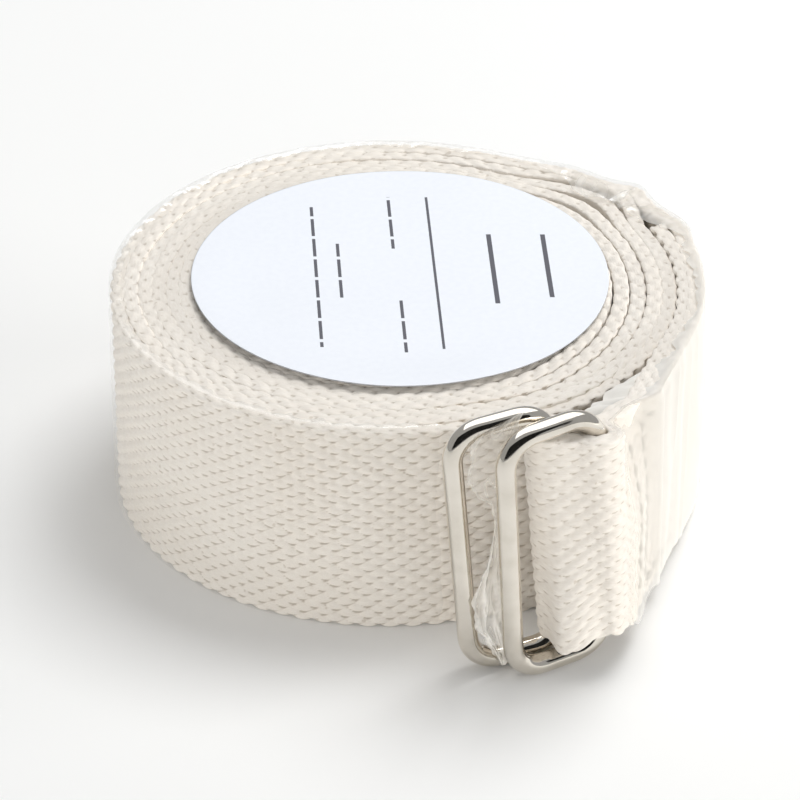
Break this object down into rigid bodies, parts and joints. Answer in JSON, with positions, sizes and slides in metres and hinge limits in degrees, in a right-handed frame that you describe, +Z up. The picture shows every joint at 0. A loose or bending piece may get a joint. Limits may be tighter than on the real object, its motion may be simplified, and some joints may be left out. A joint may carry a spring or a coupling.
{
  "type": "stretching strap",
  "caption": "Cotton webbing stretching strap, rolled up on its edge, with wire rings in a sewn end loop, a round paper label and clear shrink film.",
  "frame": {"origin": "centre of the bounding box at the floor, with the roll standing on its edge", "axes": "+Z is up along the roll's axis. The rings are at -Y and +X, the front right."},
  "size_m": [0.0988, 0.1084, 0.048],
  "materials": {
    "webbing": "natural undyed cotton webbing, coarse plain weave",
    "thread": "cream sewing thread",
    "ring_metal": "bright nickel plated steel wire",
    "paper_label": "white paper label, satin",
    "clear_film": "clear thin shrink film"
  },
  "bodies": {
    "strap": {"webbing_loop": "webbing", "webbing_roll": "webbing", "loop_stitching": "thread", "free_end_stitching": "thread", "label": "paper_label", "shrink_film": "clear_film"},
    "outer_ring": {"outer_ring": "ring_metal"},
    "inner_ring": {"inner_ring": "ring_metal", "torn_film": "clear_film"}
  },
  "joints": [
    {"name": "outer_ring_swing", "type": "hinge", "parent": "strap", "child": "outer_ring", "pos_m": [0.0302, -0.04452, 0.02439], "axis": [-0.0493, -0.0261, 0.9984], "range_deg": [0, 90]},
    {"name": "inner_ring_swing", "type": "hinge", "parent": "strap", "child": "inner_ring", "pos_m": [0.02345, -0.044, 0.02466], "axis": [-0.0788, -0.0281, 0.9965], "range_deg": [0, 90]}
  ],
  "couplings": [
    {"joint": "inner_ring_swing", "follows": "outer_ring_swing", "ratio": 1}
  ]
}
